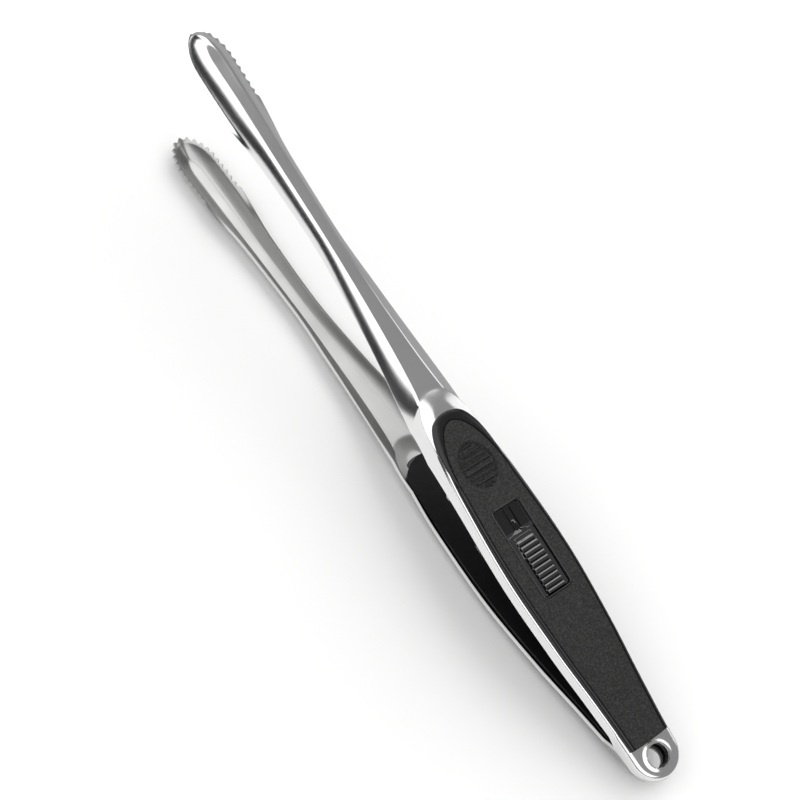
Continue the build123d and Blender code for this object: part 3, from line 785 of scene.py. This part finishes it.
def make_grips():
    for half, core in (("upper", WINDOW[2]), ("lower", 0.0)):
        body = half + "_half"
        piece(half + "_base_moulding", base_mesh(core), PLACES[half], body, half + "_grip_base",
              base_plastic, bevel=0.06)
        piece(half + "_pad_moulding", pad_mesh(core > 0), PLACES[half], body, half + "_grip_pad",
              pad_rubber, sharp=50)


# ------------------------------------------------------------------ slide button

TRAY = (WINDOW[0] + TRACK_GAP, *(size - TRACK_GAP for size in WINDOW[1:]))


def track_height(reach, w, _):
    """Top of the tray that lines the window: walls with a round lip, floor with two grooves."""
    inside = slot_inside(reach, w, *TRAY)
    rounding = 0.25
    lip = pad_top(reach) + TRACK_LIP - edge_drop(max(inside, 0.0), rounding)
    lip -= edge_drop(max(TRACK_WALL + 0.02 - inside, 0.0), rounding)
    place, half_width, depth = GROOVES
    grooves = depth * ease((half_width - abs(abs(w) - place)) / 0.12)
    grooves *= ease((inside - TRACK_WALL - 0.15) / 0.1)
    floor = BUTTON_FLOOR - 0.08 - grooves
    return lip + (floor - lip) * ease((inside - TRACK_WALL) / 0.12)


def track_mesh():
    """Tray under the slide button."""
    low, high, side, corner = TRAY
    near = (0.0, 0.05, 0.12, 0.25, 0.4, 0.52, 0.6, 0.66, 0.72, 0.9, 1.2, 1.6, 2.0)
    spans = 150
    middle = [low + 2.0 + (high - low - 4.0) * i / spans for i in range(1, spans)]
    reaches = [low + n for n in near] + middle + [high - n for n in reversed(near)]
    across = [side - n for n in near]
    widths = across + [side - 2.0 - 0.12 * i for i in range(1, 34)]
    rows = []
    for reach in reaches:
        over = max(0.0, corner - (reach - low), corner - (high - reach)) / corner
        share = (side - corner * (1 - math.sqrt(max(0.0, 1 - over * over)))) / side
        right = [(-reach, w * share, 0.0) for w in reversed(widths) if w > 0.03]
        rows.append([(x, -w, z) for x, w, z in reversed(right)] + right)
    bm = grid(rows)
    open_hole(bm, lambda reach, w: slot_inside(reach, w, *TRACK_SLOT))
    raise_to(bm, track_height)
    close_down(bm, lambda reach, w: top_at(reach) + PLATFORM_RISE + SEAT_GAP + 0.02)
    return bm


def button_height(reach, w, _):
    """Top of the button: a slab, round ribs across it, and a nose like a hipped roof."""
    rear, front, half, _ = BUTTON
    in_slab = slot_inside(reach, w, rear - 0.05, front + 0.3, BUTTON_SLAB, 1.2)
    slab = BUTTON_FLOOR + BUTTON_SLAB_RISE * ease(in_slab / 0.2)
    inside = slot_inside(reach, w, *BUTTON)
    crest = abs(math.sin(math.pi * BUTTON_RIBS * (reach - rear) / (front - rear))) ** 0.6
    fall = BUTTON_FALL * max(0.0, (reach - BUTTON_LEVEL) / (front - BUTTON_LEVEL)) ** 2
    ribs = BUTTON_TOP - fall - BUTTON_RIB_DEPTH * (1 - crest * ease(inside / 0.7))
    body = slab + max(0.0, ribs - slab) * ease(inside / 0.25)
    ahead = (reach - front) / (BUTTON_NOSE - front)
    if ahead <= 0:
        return body
    side = abs(w) / (half * (1 - 0.75 * ahead))
    return max(body, BUTTON_FLOOR + BUTTON_NOSE_RISE * (1 - ahead) ** 0.6 * max(0.0, 1 - side))


def button_mesh():
    """Slide button with its stem."""
    rear, _, half, _ = BUTTON
    steps = 190
    reaches = [rear - 0.04 + (BUTTON_NOSE - rear) * i / steps for i in range(steps + 1)]
    shares = [i / 12 * half * 0.8 for i in range(12)] + [half * (0.8 + 0.2 * i / 8) for i in range(8)]
    shares += [half + (BUTTON_SLAB - half) * i / 6 for i in range(7)]
    rows = [[(-r, -w, 0.0) for w in reversed(shares)] + [(-r, w, 0.0) for w in shares[1:]] for r in reaches]
    bm = grid(rows)
    raise_to(bm, button_height)
    close_down(bm, lambda reach, w: BUTTON_FLOOR - 0.02)
    stem_rear, stem_front, stem_half, foot = STEM
    top = BUTTON_FLOOR + 0.3
    size = (stem_front - stem_rear, 2 * stem_half, top - foot)
    middle = (-(stem_front + stem_rear) / 2, 0, (top + foot) / 2)
    bmesh.ops.create_cube(bm, size=1, matrix=Matrix.Translation(middle) @ Matrix.Diagonal((*size, 1)))
    return bm


def make_button():
    piece("slide_track_tray", track_mesh(), PLACES["upper"], "upper_half", "slide_track",
          track_plastic, sharp=45)
    piece("slide_button_ribbed", button_mesh(), PLACES["upper"], "slide_lock", "slide_button",
          button_plastic, sharp=45)


# ------------------------------------------------------------------ spring

def spring_path():
    """Leg, coil round the sleeve, leg, about the pin and halfway between the halves."""
    lean = math.radians(LEG_LEAN)
    steps, leg_steps = 24, 20
    points = []
    for i in range(leg_steps):
        s = LEG_LENGTH * (1 - i / leg_steps)
        points.append((-s * math.cos(lean) + COIL_R * math.sin(lean), COIL_WIDTH / 2,
                       s * math.sin(lean) + COIL_R * math.cos(lean)))
    turns = COIL_TURNS + (math.pi - 2 * lean) / (2 * math.pi)
    total = round(turns * steps)
    for i in range(total + 1):
        a = math.pi / 2 - lean - 2 * math.pi * turns * i / total
        points.append((COIL_R * math.cos(a), COIL_WIDTH / 2 - COIL_WIDTH * i / total, COIL_R * math.sin(a)))
    for i in range(1, leg_steps + 1):
        s = LEG_LENGTH * i / leg_steps
        points.append((-s * math.cos(lean) + COIL_R * math.sin(lean), -COIL_WIDTH / 2,
                       -s * math.sin(lean) - COIL_R * math.cos(lean)))
    return points


def make_spring():
    made = piece("opening_spring_wire", tube(spring_path(), WIRE_R), MIDDLE, "lower_half", "opening_spring",
                 spring_steel)
    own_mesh(made)


# ------------------------------------------------------------------ stage

def make_floor():
    """Plain pale floor."""
    made = card("floor", (0, 0, 0), (0, 0, 1), (40, 40))
    paper, _, _, _ = new_material("floor_paper", (0.93, 0.93, 0.925), 0.9, specular=0.1)
    made.data.materials.append(paper)


def card(name, place, facing, size):
    """A flat studio card: a rectangle whose first side lies along X, or along Y if it faces along X."""
    out = Vector(facing).normalized()
    along = Vector((1, 0, 0)) if abs(out.x) < 0.7 else Vector((0, 1, 0))
    across = out.cross(along)
    middle = Vector(place)
    mesh = bpy.data.meshes.new(name)
    corners = [middle + along * size[0] / 2 * i + across * size[1] / 2 * k
               for i, k in ((-1, -1), (1, -1), (1, 1), (-1, 1))]
    mesh.from_pydata(corners, [], [(0, 1, 2, 3)])
    made = bpy.data.objects.new(name, mesh)
    bpy.context.scene.collection.objects.link(made)
    return made


def flag(name, place, facing, size, level):
    """A studio card of an even grey that only reflections see."""
    made = card(name, place, facing, size)
    material = bpy.data.materials.new(name)
    material.use_nodes = True
    nodes = material.node_tree.nodes
    nodes.clear()
    glow = nodes.new("ShaderNodeEmission")
    glow.inputs["Color"].default_value = (1, 1, 1, 1)
    glow.inputs["Strength"].default_value = level
    end = nodes.new("ShaderNodeOutputMaterial")
    material.node_tree.links.new(glow.outputs["Emission"], end.inputs["Surface"])
    made.data.materials.append(material)
    made.visible_camera = False
    made.visible_diffuse = False
    made.visible_shadow = False
    return made


def beside_the_arms(low, high, radius=1.5):
    """Place, facing and width of a card that spans two angles, measured up from the -Y horizon."""
    middle = math.radians((low + high) / 2)
    width = 2 * radius * math.tan(math.radians((high - low) / 2))
    place = Vector((0, -math.cos(middle), math.sin(middle))) * radius
    return place, -place, width


SKY_LEVEL = 0.30
SUN_SPREAD = 60             # degrees

# name, energy, direction of travel
SUNS = [
    ("key", 1.1, (0.25, 0.45, -1.0)),
    ("fill", 0.8, (-0.7, -0.3, -1.0)),
    ("side", 1.3, (0.3, -0.9, -1.0)),
]

# name, lowest and highest angle above the -Y horizon, level; they run along X
LONG_CARDS = [
    ("low_card", -2, 2, 1.2),
    ("dark_card", 3, 24, 0.02),
    ("bright_card", 27, 96, 1.7),
]
LONG_CARD_LENGTH = 6

# name, place, facing, size, level
CARDS = [
    ("grey_card", (0, 4.03, 0.0006), (0, 0, 1), (12, 8), 0.42),
    ("front_card", (-1.9, 1.45, 1.75), (1, -0.6, -0.7), (2.0, 3.6), 2.4),
    ("side_card", (0.15, 0.5, 0.33), (0, -1, 0), (0.4, 0.6), 1.3),
    ("dark_front", (-2.4, -0.75, 0.5), (1, 0.3, 0), (2.4, 0.9), 0.02),
]


def make_lights():
    """A soft sun for the matt surfaces, an even sky, and long cards beside the arms for the steel."""
    world = bpy.data.worlds.new("studio")
    world.use_nodes = True
    background = world.node_tree.nodes["Background"]
    background.inputs["Color"].default_value = (1, 1, 1, 1)
    background.inputs["Strength"].default_value = SKY_LEVEL
    bpy.context.scene.world = world
    for name, energy, travel in SUNS:
        data = bpy.data.lights.new(name, "SUN")
        data.energy = energy
        data.angle = math.radians(SUN_SPREAD)
        sun = bpy.data.objects.new(name, data)
        bpy.context.scene.collection.objects.link(sun)
        sun.rotation_euler = Vector(travel).to_track_quat("-Z", "Y").to_euler()
        sun.visible_glossy = False
    for name, low, high, level in LONG_CARDS:
        place, facing, width = beside_the_arms(low, high)
        flag(name, place, facing, (LONG_CARD_LENGTH, width), level)
    for card_values in CARDS:
        flag(*card_values)


CAMERA_ANGLES = (40.061, 62.099, 16.085)                # azimuth, elevation and roll, in degrees
CAMERA_AIM = Vector((-0.131583, -0.002365, 0.017777))   # from the hinge pin
CAMERA_DISTANCE = 0.549205
CAMERA_LENS = 71.286


def make_camera():
    azimuth, elevation, roll = (math.radians(a) for a in CAMERA_ANGLES)
    back = Vector((math.sin(azimuth) * math.cos(elevation), -math.cos(azimuth) * math.cos(elevation),
                   math.sin(elevation)))
    level = Vector((math.cos(azimuth), math.sin(azimuth), 0))
    above = back.cross(level)
    right = level * math.cos(roll) + above * math.sin(roll)
    up = above * math.cos(roll) - level * math.sin(roll)
    data = bpy.data.cameras.new("camera")
    data.lens = CAMERA_LENS
    data.sensor_width = 36
    data.clip_start = 0.01
    data.clip_end = 20
    made = bpy.data.objects.new("camera", data)
    bpy.context.scene.collection.objects.link(made)
    turn = Matrix((right, up, back)).transposed().to_4x4()
    made.matrix_world = Matrix.Translation(pin + CAMERA_AIM + back * CAMERA_DISTANCE) @ turn
    bpy.context.scene.camera = made


dress_cad_nodes()
make_arms()
make_grips()
make_button()
make_spring()
make_floor()
make_lights()
make_camera()
bpy.context.scene.view_settings.view_transform = "Standard"
